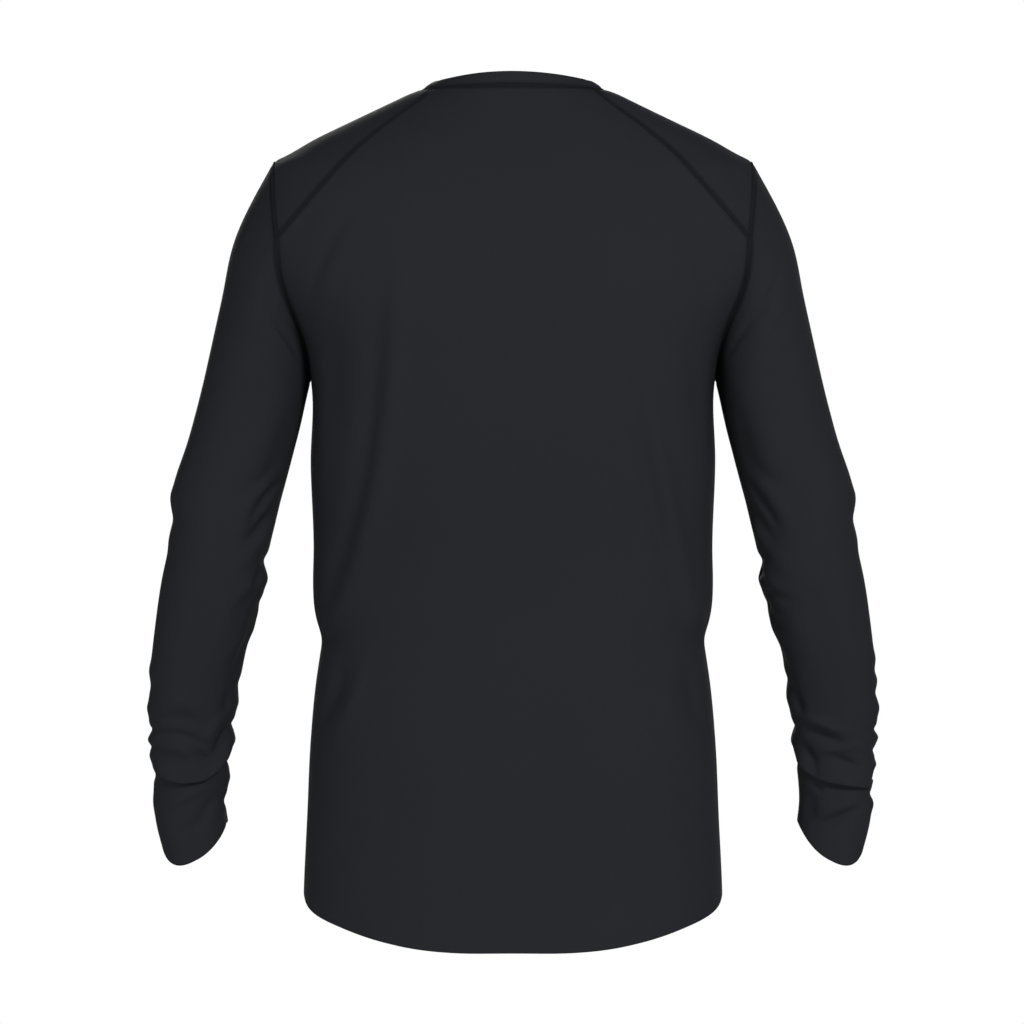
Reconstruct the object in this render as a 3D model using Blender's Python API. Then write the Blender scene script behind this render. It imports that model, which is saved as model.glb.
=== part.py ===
"""Base layer top: a close-fitting long-sleeved garment in worn shape, hollow and open at neck, hem and cuffs.

Frame: +Z up, the wearer's left along +X, the back of the garment along +Y. The origin is on the centre line,
at the height where the shoulders meet the neckband, above the middle of the neck opening.
Sizes are in millimetres and become metres as each mesh is made.
"""

import math

import bmesh
import bpy
import numpy as np

MM = 0.001

# Cloth and seams
THICKNESS = 1.5
SEAM_GAP = 0.3

# Heights of the landmarks along the side of the body
SIDE_HEM = -686.0
UNDERARM = -248.0
JUNCTION = -128.0
SHOULDER_TIP = -63.0
NECK_BEHIND = -1.0
NECK_BEFORE = -6.0

# Body form. Half width at a height, as (height, half width)
SIDE_WIDTH = [
    (-760, 178), (-686, 178), (-620, 175), (-554, 172), (-505, 167), (-469, 162.5), (-440, 169),
    (-392, 169.5), (-320, 172), (-248, 171.7),
]
RIDGE_WIDTH = [
    (-63, 204), (-57, 192), (-44, 169), (-31, 142), (-18, 115), (-10, 98.5), (-3, 83), (-1, 76), (4, 66),
]

# Depth of the form behind and in front of the shoulder line, as (height, depth)
BACK_DEPTH = [
    (-760, 116), (-690, 114), (-600, 109), (-500, 101), (-430, 99), (-350, 106), (-270, 114.5), (-220, 118),
    (-180, 118), (-140, 114), (-100, 107), (-63, 95), (-30, 78), (0, 60), (4, 58),
]
FRONT_DEPTH = [
    (-760, 112), (-690, 111), (-600, 109), (-500, 105), (-430, 104), (-350, 108), (-250, 114), (-190, 112),
    (-150, 102), (-110, 84), (-72, 64), (-40, 46), (-20, 33), (-1, 19), (4, 16),
]
# Squareness of the cross-section, 2 for an ellipse
SQUARENESS = [
    (-760, 2.3), (-470, 2.3), (-390, 2.4), (-320, 2.7), (-248, 2.9), (-190, 2.7), (-128, 2.55), (-63, 2.4),
    (-20, 2.1), (4, 2.0),
]

# Armhole: an upright egg, wider above, with its distance from the centre line as (height, distance)
ARMHOLE_CENTRE = (SHOULDER_TIP + UNDERARM) / 2
ARMHOLE_HALF_HEIGHT = (SHOULDER_TIP - UNDERARM) / 2
ARMHOLE_REACH = 0.59
ARMHOLE_EGG = 0.45
ARMHOLE_DISTANCE = [
    (-248, 171.7), (-223, 175.3), (-206, 180.3), (-190, 187), (-175, 193.5), (-150, 199.5), (-128, 201.5),
    (-100, 204), (-78, 205), (-63, 204),
]
# Diagonal shoulder seam, as (height, distance from the centre line)
DIAGONAL = [(-128, 201.5), (-105, 182), (-80, 160.5), (-53, 135.5), (-28, 105), (-10, 80), (-1, 69.5)]

# Neckline and hem
NECK_DIP = 66.0
NECK_DIP_EASE = 1.4
NECK_CURVE = 2.25
NECK_BACK_RISE = 2.7
NECK_BACK_EASE = 3
BACK_TAIL = 48.0
FRONT_TAIL = 16.0
TAIL_FADE = 130.0
TAIL_EASE = 1.5
# Drop of the hem, as (share of the way from the centre line to the side seam, share of the tail)
HEM_CURVE = [(0, 1), (0.13, 1), (0.26, 0.95), (0.40, 0.81), (0.60, 0.54), (0.82, 0.265), (1, 0)]

# Neckband, with its lean towards the neck in degrees: before, and how much more at the sides and behind
NECKBAND_WIDTH = 13.5
NECKBAND_BULGE = 1.4
BAND_LEAN = 14.0
BAND_LEAN_SIDE = 31.0
BAND_LEAN_BEHIND = 14.0

# Sleeve, as cross-sections from the armhole to the wrist:
# (outer distance, outer height, inner distance, inner height, set-back of the centre, half depth)
SLEEVE = [
    (204, -63, 172, -248, 4, 68),
    (237.5, -130, 176, -266, 4, 62),
    (247, -177, 181, -289, 4, 58),
    (256, -218, 187, -312, 4, 54),
    (277, -302, 198, -354, 5, 48),
    (289, -338, 204, -378, 5, 46),
    (291.5, -384, 210, -407, 2, 45),
    (298, -415, 212, -430, -1, 44),
    (306, -470, 226, -474, -9, 41),
    (309.5, -515, 234, -517, -17, 38),
    (309, -556, 239, -558, -26, 35),
    (305.5, -592, 243, -592, -34, 32),
    (304.5, -622, 243.5, -608, -37, 31),
    (299, -648, 241.5, -624, -39, 30),
]
SLEEVE_SQUARENESS = 2.15
SLEEVE_SECTION_VALUES = 6
# The cuff runs out in a tongue over the back of the hand; its length is a share of the sleeve's
CUFF_TONGUE = 21.0
CUFF_LENGTH = 0.10
CUFF_EASE = 1.5
TONGUE_TURN = 0.12
# Share of the sleeve over which the armhole's own shape fades out
ARMHOLE_BLEND = 0.22
ARMHOLE_EASE = 2

# Grid counts. The armhole counts make the segments of the whole armhole.
HALF_COLUMNS = 10
BODY_ROWS = 10
ARM_ROWS = 6
DIAGONAL_ROWS = 6
SHOULDER_COLUMNS = 8
SLEEVE_ROWS = 25
BAND_ROWS = 2

# Large folds in the back, from shoulder blade to waist: (x, z) points, half width and height of the ridge
BACK_FOLDS = [
    ([(97, -160), (100, -214), (107, -286), (117, -347), (130, -400), (150, -452)], 15, 4.0),
    ([(-112, -250), (-121, -302), (-130, -345), (-140, -390), (-155, -444)], 15, 3.5),
    ([(127, -490), (134, -518), (152, -550)], 13, 3.0),
    ([(-132, -496), (-134, -526), (-148, -552)], 13, 2.5),
]
FOLD_SAMPLES = 40
FOLD_END = 4

NORMAL_STEP = 0.5

CLOTH_COLOUR = (0.021, 0.023, 0.027, 1.0)
BAND_COLOUR = (0.018, 0.020, 0.023, 1.0)
ROUGHNESS = 0.85


def profile(points):
    """A smooth curve through (position, value) points."""
    at, value = np.array(sorted(points), dtype=float).T
    slope = np.gradient(value, at)

    def read(x):
        x = np.clip(x, at[0], at[-1])
        i = np.clip(np.searchsorted(at, x) - 1, 0, len(at) - 2)
        step = at[i + 1] - at[i]
        t = (x - at[i]) / step
        start = (1 + 2 * t) * (1 - t) ** 2 * value[i] + t * (1 - t) ** 2 * step * slope[i]
        end = t * t * (3 - 2 * t) * value[i + 1] - t * t * (1 - t) * step * slope[i + 1]
        return start + end

    return read


back_depth = profile(BACK_DEPTH)
front_depth = profile(FRONT_DEPTH)
squareness = profile(SQUARENESS)
armhole_distance = profile(ARMHOLE_DISTANCE)
diagonal_distance = profile(DIAGONAL)
hem_drop = profile(HEM_CURVE)


def armhole_fraction(z):
    """How far back the armhole's edge lies at a height, as a share of the body's depth there."""
    rise = (z - ARMHOLE_CENTRE) / ARMHOLE_HALF_HEIGHT
    return ARMHOLE_REACH * (1 + ARMHOLE_EGG * rise) * math.sqrt(max(0.0, 1 - rise * rise))


def width_points():
    """Half widths from the side seam, through the armhole's edge, to the shoulder ridge."""
    through = []
    for z, distance in ARMHOLE_DISTANCE[1:-1]:
        p = squareness(z)
        through.append((z, distance / (1 - armhole_fraction(z) ** p) ** (1 / p)))
    return SIDE_WIDTH + through + RIDGE_WIDTH


half_width = profile(width_points())


def depth(z, side):
    """Depth of the form behind (side 1) or in front (side -1)."""
    return back_depth(z) if side > 0 else front_depth(z)


def form_at_angle(angle, z, side):
    """Point of the body's form: angle 0 at the side, a quarter turn at the centre line."""
    p = squareness(z)
    x = half_width(z) * max(0.0, math.cos(angle)) ** (2 / p)
    y = depth(z, side) * max(0.0, math.sin(angle)) ** (2 / p)
    return np.array([x, side * y, z])


def form_at_distance(x, z, side):
    """Point of the body's form at a distance from the centre line."""
    p = squareness(z)
    share = min(1.0, x / half_width(z))
    return np.array([x, side * depth(z, side) * (1 - share ** p) ** (1 / p), z])


def form_normal(point, side):
    """Outward direction of the body's form at one of its points."""
    def level(q):
        p = squareness(q[2])
        return abs(q[0] / half_width(q[2])) ** p + abs(q[1] / depth(q[2], side)) ** p

    steps = NORMAL_STEP * np.eye(3)
    slope = np.array([level(point + step) - level(point - step) for step in steps])
    return slope / np.linalg.norm(slope)


def unit(v):
    return v / np.maximum(np.linalg.norm(v, axis=-1, keepdims=True), 1e-9)


def mirrored(points):
    return points * np.array([-1.0, 1.0, 1.0])


def neck_edge(side):
    """Height at which the diagonal seam behind or in front meets the neckline."""
    return NECK_BEHIND if side > 0 else NECK_BEFORE


def edge_levels(side):
    """Heights of the grid rows at the panel's side: side seam, armhole, then diagonal seam."""
    turn = math.acos((ARMHOLE_CENTRE - JUNCTION) / ARMHOLE_HALF_HEIGHT)
    seam = [SIDE_HEM + (UNDERARM - SIDE_HEM) * i / BODY_ROWS for i in range(BODY_ROWS + 1)]
    turns = [turn * i / ARM_ROWS for i in range(1, ARM_ROWS + 1)]
    arm = [ARMHOLE_CENTRE - ARMHOLE_HALF_HEIGHT * math.cos(t) for t in turns]
    climb = neck_edge(side) - JUNCTION
    diagonal = [JUNCTION + climb * i / DIAGONAL_ROWS for i in range(1, DIAGONAL_ROWS + 1)]
    return seam + arm + diagonal


def edge_point(z, side):
    """The panel's side edge at a height."""
    if z <= UNDERARM:
        return form_at_angle(0.0, z, side)
    if z <= JUNCTION:
        return form_at_distance(armhole_distance(z), z, side)
    return form_at_distance(diagonal_distance(z), z, side)


def fold_lift(x, z):
    """Height of the large folds in the back at a point."""
    lift = 0.0
    for route, half, height in BACK_FOLDS:
        line = np.array(route, dtype=float)
        steps = np.linspace(0, len(line) - 1, FOLD_SAMPLES)
        xs = np.interp(steps, range(len(line)), line[:, 0])
        zs = np.interp(steps, range(len(line)), line[:, 1])
        away = np.hypot(xs - x, zs - z)
        nearest = int(np.argmin(away))
        fade = math.sin(math.pi * (nearest + FOLD_END) / (FOLD_SAMPLES - 1 + 2 * FOLD_END))
        lift += height * fade * math.exp(-(away[nearest] / half) ** 2)
    return lift


def panel_half(side):
    """Half of the back or front panel, from the centre line to its side edge, as rows of points."""
    tail = BACK_TAIL if side > 0 else FRONT_TAIL
    rows = []
    for z in edge_levels(side):
        edge = edge_point(z, side)
        p = squareness(z)
        end = math.acos(min(1.0, (edge[0] / half_width(z)) ** (p / 2)))
        low = max(0.0, 1 - (z - SIDE_HEM) / TAIL_FADE) ** TAIL_EASE
        high = max(0.0, (z - UNDERARM) / (neck_edge(side) - UNDERARM))
        row = []
        for column in range(HALF_COLUMNS + 1):
            f = column / HALF_COLUMNS
            angle = math.pi / 2 - f * (math.pi / 2 - end)
            drop = tail * low * hem_drop(f)
            if side > 0:
                rise = NECK_BACK_RISE * high ** NECK_BACK_EASE * (1 - f * f)
            else:
                rise = -NECK_DIP * high ** NECK_DIP_EASE * (1 - f ** NECK_CURVE)
            if z <= UNDERARM:
                row.append(form_at_angle(angle, z - drop, side))
            else:
                row.append(form_at_distance(form_at_angle(angle, z, side)[0], z + rise, side))
        row[-1] = edge
        rows.append(row)
    return np.array(rows)


def panel(side):
    """The whole back or front panel and its outward directions."""
    half = panel_half(side)
    grid = np.concatenate([mirrored(half[:, :0:-1]), half], axis=1)
    out = np.array([[form_normal(q, side) for q in row] for row in grid])
    if side > 0:
        lift = np.array([[fold_lift(q[0], q[2]) for q in row] for row in grid])
        grid = grid + out * lift[..., None]
    return grid, out


def shoulder():
    """Left shoulder panel, over the ridge from the diagonal seam behind to the one in front.

    The armhole's own line draws the panel in, more the nearer it lies.
    """
    turn = math.pi - math.acos((ARMHOLE_CENTRE - JUNCTION) / ARMHOLE_HALF_HEIGHT)
    seam_levels = {side: edge_levels(side)[-1:-DIAGONAL_ROWS - 2:-1] for side in (1, -1)}
    ridge = profile([(distance, z) for z, distance in RIDGE_WIDTH])
    first = half_width(NECK_BEHIND)
    last = half_width(SHOULDER_TIP)
    rows = []
    for r in range(DIAGONAL_ROWS + 1):
        z_ridge = ridge(first + (last - first) * r / DIAGONAL_ROWS)
        if r == 0:
            z_ridge = NECK_BEHIND
        if r == DIAGONAL_ROWS:
            z_ridge = SHOULDER_TIP
        row = []
        for column in range(SHOULDER_COLUMNS + 1):
            j = 1 - 2 * column / SHOULDER_COLUMNS
            side = 1 if j >= 0 else -1
            z_seam = seam_levels[side][r]
            across = math.sin(abs(j) * turn) / math.sin(turn)
            down = (1 - math.cos(j * turn)) / (1 - math.cos(turn))
            edge = edge_point(z_seam, side)
            share = abs(edge[1]) / depth(z_seam, side) * across
            z = z_ridge + (z_seam - z_ridge) * down
            p = squareness(z)
            row.append([half_width(z) * (1 - share ** p) ** (1 / p), side * depth(z, side) * share, z])
        rows.append(row)
    grid = np.array(rows)
    drawn_in = armhole_distance(grid[-1, :, 2]) / grid[-1, :, 0] - 1
    nearness = np.linspace(0, 1, DIAGONAL_ROWS + 1)[:, None]
    grid[:, :, 0] *= 1 + drawn_in * nearness ** 2
    out = np.array([[form_normal(q, 1 if q[1] >= 0 else -1) for q in row] for row in grid])
    return grid, out


def armhole_loop(back, front, top):
    """The armhole's points from the underarm, up the back, over the shoulder and down the front."""
    low = BODY_ROWS
    high = BODY_ROWS + ARM_ROWS
    behind = back[low:high, -1]
    over = top[-1]
    before = front[high - 1:low:-1, -1]
    return np.concatenate([behind, over, before])


def sleeve(loop):
    """Left sleeve as rings from the armhole to the shaped end over the back of the hand."""
    sections = np.array(SLEEVE, dtype=float)
    middles = np.c_[(sections[:, 0] + sections[:, 2]) / 2, (sections[:, 1] + sections[:, 3]) / 2]
    run = np.r_[0, np.cumsum(np.hypot(*np.diff(middles, axis=0).T))]
    curves = [profile(list(zip(run, sections[:, c]))) for c in range(SLEEVE_SECTION_VALUES)]
    count = len(loop)
    rings = []
    for row in range(SLEEVE_ROWS + 1):
        t = row / SLEEVE_ROWS
        outer_x, outer_z, inner_x, inner_z, set_back, half_depth = (float(c(t * run[-1])) for c in curves)
        hold = max(0.0, 1 - t / ARMHOLE_BLEND) ** ARMHOLE_EASE
        cuff = max(0.0, 1 - (1 - t) / CUFF_LENGTH) ** CUFF_EASE
        ring = []
        for k in range(count):
            turn = 2 * math.pi * k / count
            along = (1 - math.copysign(abs(math.cos(turn)) ** (2 / SLEEVE_SQUARENESS), math.cos(turn))) / 2
            aside = math.copysign(abs(math.sin(turn)) ** (2 / SLEEVE_SQUARENESS), math.sin(turn))
            tongue = CUFF_TONGUE * cuff * max(0.0, math.sin(turn - TONGUE_TURN)) ** CUFF_EASE
            ring.append([
                inner_x + (outer_x - inner_x) * along,
                set_back + half_depth * aside,
                inner_z + (outer_z - inner_z) * along - tongue,
            ])
        ring = np.array(ring)
        if row == 0:
            first = ring
        rings.append(ring + (loop - first) * hold)
    return np.array(rings)


def ring_normals(rings):
    """Outward directions of a tube given as rings that run from the body outwards."""
    along = np.gradient(rings, axis=0)
    around = np.roll(rings, -1, axis=1) - np.roll(rings, 1, axis=1)
    return unit(np.cross(around, along))


def neck_loop(back, front, top):
    """The neck seam's points: across the back from right to left, over the shoulder, home by the front."""
    left = top[0]
    return np.concatenate([back[-1, :-1], left[:-1], front[-1, :0:-1], mirrored(left)[:0:-1]])


def neckband(loop):
    """The neckband as rings from the neck seam to its free edge, leaning in towards the neck."""
    along = unit(np.roll(loop, -1, axis=0) - np.roll(loop, 1, axis=0))
    inward = unit(loop * np.array([-1.0, -1.0, 0.0]))
    sideways = np.abs(inward[:, :1])
    behind = np.clip(inward[:, 1:2], 0, 1)
    lean = np.radians(BAND_LEAN + BAND_LEAN_SIDE * sideways ** 2 + BAND_LEAN_BEHIND * behind)
    up = np.cos(lean) * np.array([0.0, 0.0, 1.0]) + np.sin(lean) * inward
    up = unit(up - along * np.sum(up * along, axis=1, keepdims=True))
    out = unit(np.cross(along, up))
    out *= np.sign(np.sum(out * -inward, axis=1, keepdims=True))
    rings = []
    for row in range(BAND_ROWS + 1):
        t = row / BAND_ROWS
        rings.append(loop + up * NECKBAND_WIDTH * t + out * NECKBAND_BULGE * 4 * t * (1 - t))
    return np.array(rings), np.array([out] * (BAND_ROWS + 1))


def inwards(line, out, towards, closed):
    """Direction on the cloth square to its edge, away from the seam."""
    if closed:
        along = np.roll(line, -1, axis=0) - np.roll(line, 1, axis=0)
    else:
        along = np.gradient(line, axis=0)
    across = unit(np.cross(out, along))
    return across * np.sign(np.sum(across * towards, axis=1, keepdims=True))


def inset(grid, out, tube):
    """Draw the edges in by half the seam gap, so that sewn pieces stay just apart."""
    moved = grid.copy()
    for edge, inner in ((0, 1), (-1, -2)):
        moved[edge] += inwards(grid[edge], out[edge], grid[inner] - grid[edge], tube) * SEAM_GAP / 2
        if not tube:
            step = inwards(grid[:, edge], out[:, edge], grid[:, inner] - grid[:, edge], False)
            moved[:, edge] += step * SEAM_GAP / 2
    return moved


def cloth(name, grid, out, colour, tube=False):
    """A cut piece of cloth: a grid laid on the form, then extruded inwards to the cloth's thickness."""
    grid = inset(grid, out, tube)
    if tube:
        grid = np.concatenate([grid, grid[:, :1]], axis=1)
        out = np.concatenate([out, out[:, :1]], axis=1)
    rows, columns = grid.shape[:2]
    outside = grid.reshape(-1, 3) * MM
    inside = (grid - out * THICKNESS).reshape(-1, 3) * MM
    bm = bmesh.new()
    bmesh.ops.create_grid(bm, x_segments=columns - 1, y_segments=rows - 1, size=1.0)
    place = bm.verts.layers.int.new("place")
    bm.verts.ensure_lookup_table()
    for i, vert in enumerate(bm.verts):
        vert[place] = i
        vert.co = outside[i]
    if tube:
        bmesh.ops.remove_doubles(bm, verts=bm.verts, dist=0.00001)
    grown = bmesh.ops.extrude_face_region(bm, geom=bm.faces[:])
    for item in grown["geom"]:
        if isinstance(item, bmesh.types.BMVert):
            item.co = inside[item[place]]
    bmesh.ops.recalc_face_normals(bm, faces=bm.faces)
    mesh = bpy.data.meshes.new(name)
    bm.to_mesh(mesh)
    bm.free()
    mesh.shade_smooth()
    mesh.materials.append(material(name, colour))
    piece = bpy.data.objects.new(name, mesh)
    bpy.data.collections["base_layer_top"].objects.link(piece)


def material(name, colour):
    """Matte jersey."""
    made = bpy.data.materials.new(name)
    made.use_nodes = True
    shader = made.node_tree.nodes["Principled BSDF"]
    shader.inputs["Base Color"].default_value = colour
    shader.inputs["Roughness"].default_value = ROUGHNESS
    shader.inputs["Metallic"].default_value = 0.0
    return made


def clear_scene():
    for thing in list(bpy.data.objects):
        bpy.data.objects.remove(thing, do_unlink=True)
    bpy.context.scene.collection.children.link(bpy.data.collections.new("base_layer_top"))


def main():
    clear_scene()
    back, back_out = panel(1)
    front, front_out = panel(-1)
    top, top_out = shoulder()

    arm_low = BODY_ROWS
    arm_high = BODY_ROWS + ARM_ROWS
    loop = armhole_loop(back, front, top)
    arm = sleeve(loop)
    arm_out = ring_normals(arm)
    loop_out = armhole_loop(back_out, front_out, top_out)
    seam_out = unit(loop_out + arm_out[0])
    arm_out[0] = seam_out
    back_out[arm_low:arm_high + 1, -1] = seam_out[:ARM_ROWS + 1]
    top_out[-1] = seam_out[ARM_ROWS:ARM_ROWS + SHOULDER_COLUMNS + 1]
    around = np.roll(seam_out, -1, axis=0)[::-1]
    front_out[arm_low:arm_high + 1, -1] = around[:ARM_ROWS + 1]
    for out in (back_out, front_out):
        out[arm_low:arm_high + 1, 0] = mirrored(out[arm_low:arm_high + 1, -1])

    neck = neck_loop(back, front, top)
    band, band_out = neckband(neck)
    neck_out = unit(neck_loop(back_out, front_out, top_out) + band_out[0])
    band_out[0] = neck_out
    width = 2 * HALF_COLUMNS
    back_out[-1] = neck_out[:width + 1]
    top_out[0] = neck_out[width:width + SHOULDER_COLUMNS + 1]
    start = width + SHOULDER_COLUMNS
    front_out[-1] = neck_out[start:start + width + 1][::-1]

    cloth("back_panel", back, back_out, CLOTH_COLOUR)
    cloth("front_panel", front, front_out, CLOTH_COLOUR)
    for side, place in (("left", lambda q: q), ("right", mirrored)):
        cloth("shoulder_panel_" + side, place(top), place(top_out), CLOTH_COLOUR)
        cloth("sleeve_" + side, place(arm), place(arm_out), CLOTH_COLOUR, tube=True)
    cloth("neckband", band, band_out, BAND_COLOUR, tube=True)


main()
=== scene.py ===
# %% [markdown]
# # A base layer top in Blender
# A base layer top is a thin, stretchy jersey shirt that is worn next to the skin. It is cut from seven pieces:
# a back, a front, a panel over each shoulder, two sleeves and a neckband. Flat seams join them, so that nothing
# rubs. This lesson lays a fine cloth on each piece of a finished frame, folds it, and sews it.

import math

import bmesh
import bpy
import numpy as np
from mathutils import Matrix, Vector, noise
from mathutils.bvhtree import BVHTree


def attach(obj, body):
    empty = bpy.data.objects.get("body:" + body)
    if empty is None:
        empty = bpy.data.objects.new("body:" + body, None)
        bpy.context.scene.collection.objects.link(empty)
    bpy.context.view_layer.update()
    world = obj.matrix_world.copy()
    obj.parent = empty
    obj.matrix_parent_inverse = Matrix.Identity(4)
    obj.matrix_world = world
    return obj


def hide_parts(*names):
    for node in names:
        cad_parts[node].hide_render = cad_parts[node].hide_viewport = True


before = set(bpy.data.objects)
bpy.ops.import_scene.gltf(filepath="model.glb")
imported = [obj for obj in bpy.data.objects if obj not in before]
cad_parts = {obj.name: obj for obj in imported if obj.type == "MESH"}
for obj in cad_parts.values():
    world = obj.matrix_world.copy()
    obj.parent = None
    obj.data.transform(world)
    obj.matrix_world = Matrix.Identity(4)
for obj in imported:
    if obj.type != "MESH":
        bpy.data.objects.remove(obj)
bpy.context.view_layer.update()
MM = 0.001
print("the frame's nodes:", ", ".join(sorted(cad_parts)))

# %% [markdown]
# ## Camera, floor and light
# The camera looks at the back of the shirt, level with its middle. A long lens far away keeps upright lines
# upright. Dark cloth needs a large soft light beside the camera, and a weaker fill on the other side, or its
# folds vanish. Two small lights at the sides lift the outer faces of the sleeves, and a pair in front does for
# the front what the first pair does for the back. The world is white to the eye but lights the cloth less than
# it shows, so that the outline stays crisp.

# %% Camera
VIEW_HEIGHT = -360.4 * MM
VIEW_SHIFT = 0.85 * MM
VIEW_WIDTH = 870.4 * MM
CAMERA_DISTANCE = 24.0
SENSOR = 36.0



def add_object(name, data):
    made = bpy.data.objects.new(name, data)
    bpy.context.scene.collection.objects.link(made)
    return made


camera_data = bpy.data.cameras.new("camera")
camera_data.sensor_width = SENSOR
camera_data.lens = SENSOR * CAMERA_DISTANCE / VIEW_WIDTH
camera_data.clip_end = 100.0
camera = add_object("camera", camera_data)
camera.location = (VIEW_SHIFT, CAMERA_DISTANCE, VIEW_HEIGHT)
camera.rotation_euler = (math.radians(90), 0, math.radians(180))
bpy.context.scene.camera = camera
bpy.context.scene.view_settings.view_transform = "Standard"
print("lens:", round(camera_data.lens), "mm")

# %% Floor and light
FLOOR_HEIGHT = -1.45
FLOOR_RADIUS = 3.0
# Each light: name, place, size, power
LIGHTS = [
    ("key", (-1.7, 3.5, 1.7), 1.1, 150.0),
    ("fill", (2.5, 3.1, 0.2), 1.8, 46.0),
    ("front_key", (0.6, -3.9, 0.9), 1.1, 100.0),
    ("front_fill", (-1.0, -3.8, 0.1), 1.8, 30.0),
    ("left_side", (3.6, 0.9, 0.2), 1.6, 18.0),
    ("right_side", (-3.6, 0.9, 0.2), 1.6, 18.0),
]
AMBIENT = 0.20

bm = bmesh.new()
bmesh.ops.create_circle(bm, cap_ends=True, segments=96, radius=FLOOR_RADIUS,
                        matrix=Matrix.Translation((0, 0, FLOOR_HEIGHT)))
floor_mesh = bpy.data.meshes.new("floor")
bm.to_mesh(floor_mesh)
bm.free()
floor = add_object("floor", floor_mesh)

for name, place, size, power in LIGHTS:
    lamp = bpy.data.lights.new(name, "AREA")
    lamp.shape = "SQUARE"
    lamp.size = size
    lamp.energy = power
    light = add_object(name, lamp)
    light.location = place
    aim = Vector((0, 0, VIEW_HEIGHT)) - Vector(place)
    light.rotation_euler = aim.to_track_quat("-Z", "Y").to_euler()

world = bpy.data.worlds.new("studio")
world.use_nodes = True
bpy.context.scene.world = world
sky = world.node_tree
seen = sky.nodes.new("ShaderNodeLightPath")
brightness = sky.nodes.new("ShaderNodeMapRange")
brightness.inputs["To Min"].default_value = AMBIENT
brightness.inputs["To Max"].default_value = 1.0
sky.links.new(seen.outputs["Is Camera Ray"], brightness.inputs["Value"])
sky.nodes["Background"].inputs["Color"].default_value = (1, 1, 1, 1)
sky.links.new(brightness.outputs["Result"], sky.nodes["Background"].inputs["Strength"])
print(len(LIGHTS), "soft lights and a pale floor")

# %% [markdown]
# ## Shader maths in plain Python
# A material is a net of small sums. One class wraps a socket and gives it +, -, * and /, so that a pattern can
# be written as a formula. Any other node comes from its `node` method, and `mix` blends two colours.

# %% A socket that can be worked with as a number
class Value:
    def __init__(self, tree, socket=None):
        self.tree = tree
        self.socket = socket

    def node(self, kind, settings=None, inputs=None, output=0):
        made = self.tree.nodes.new(kind)
        for name, value in (settings or {}).items():
            setattr(made, name, value)
        for key, value in (inputs or {}).items():
            if isinstance(value, Value):
                self.tree.links.new(value.socket, made.inputs[key])
            else:
                made.inputs[key].default_value = value
        return Value(self.tree, made.outputs[output])

    def math(self, operation, *others):
        return self.node("ShaderNodeMath", {"operation": operation}, dict(enumerate((self,) + others)))

    def __add__(self, other):
        return self.math("ADD", other)

    def __mul__(self, other):
        return self.math("MULTIPLY", other)

    def __sub__(self, other):
        return self.math("SUBTRACT", other)

    def __rsub__(self, other):
        return self.node("ShaderNodeMath", {"operation": "SUBTRACT"}, {0: other, 1: self})

    def __truediv__(self, other):
        return self.math("DIVIDE", other)

    def mix(self, first, second):
        """Blend two colours, by this value."""
        inputs = {"Factor": self, 6: first, 7: second}
        return self.node("ShaderNodeMix", {"data_type": "RGBA", "clamp_factor": True}, inputs, 2)


# %% [markdown]
# ## The jersey
# Jersey is a plain knit: upright columns of V shaped loops, called wales, crossed by rows, called courses. The
# map of each piece is in metres of cloth, so the same sums give the same loops on every piece. The loops only
# tilt the light, so they are a bump. Colour and roughness vary a little from place to place, and the cloth is
# painted darker along each seam, as painted shade for the seam's groove.

# %% Jersey material
CHARCOAL = (0.0172, 0.0181, 0.0214, 1)
CHARCOAL_DEEP = (0.0138, 0.0145, 0.0173, 1)
# Painted shade: the colour the cloth is darkened towards along each seam, for the shade in the seam's groove
PAINTED_SEAM_SHADE = (0.0075, 0.0080, 0.0097, 1)
WALE = 0.9 * MM
COURSE = 0.7 * MM
LOOP_SLANT = 0.9
LOOP_HEIGHT = 0.12 * MM
KNIT_STRENGTH = 0.35
# How far the painted seam shade darkens the cloth
PAINTED_SHADE_STRENGTH = 0.75
FULL_TURN = 2 * math.pi


def cloth_shader(name, roughness):
    """A matte cloth shader with its constants set, and a Value to start its sums from."""
    material = bpy.data.materials.new(name)
    material.use_nodes = True
    shader = material.node_tree.nodes["Principled BSDF"]
    shader.inputs["Roughness"].default_value = roughness
    shader.inputs["Specular IOR Level"].default_value = 0.04
    return material, shader, Value(material.node_tree)


def cloth_place(start):
    """The two directions of the cloth's own map: across and along, in metres of cloth."""
    place = start.node("ShaderNodeUVMap", {"uv_map": "cloth"})
    across = place.node("ShaderNodeSeparateXYZ", inputs={0: place})
    return across, Value(across.tree, across.socket.node.outputs["Y"])


def speckle(start, scale, detail):
    """Noise on the piece's own place."""
    place = start.node("ShaderNodeTexCoord", output=3)
    return start.node("ShaderNodeTexNoise", inputs={"Vector": place, "Scale": scale, "Detail": detail})


# The seam attribute: the mask of the painted seam shade
def seam_nearness(start):
    return start.node("ShaderNodeAttribute", {"attribute_name": "seam"}, output=2)


def paint(material, shader, colour, height, strength, distance, roughness=None):
    """Join the finished sums to the shader: colour, bump and, where it varies, roughness."""
    links = material.node_tree.links
    links.new(colour.socket, shader.inputs["Base Color"])
    if roughness:
        links.new(roughness.socket, shader.inputs["Roughness"])
    bump = colour.node("ShaderNodeBump", inputs={"Strength": strength, "Distance": distance, "Height": height})
    links.new(bump.socket, shader.inputs["Normal"])
    return material


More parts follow.
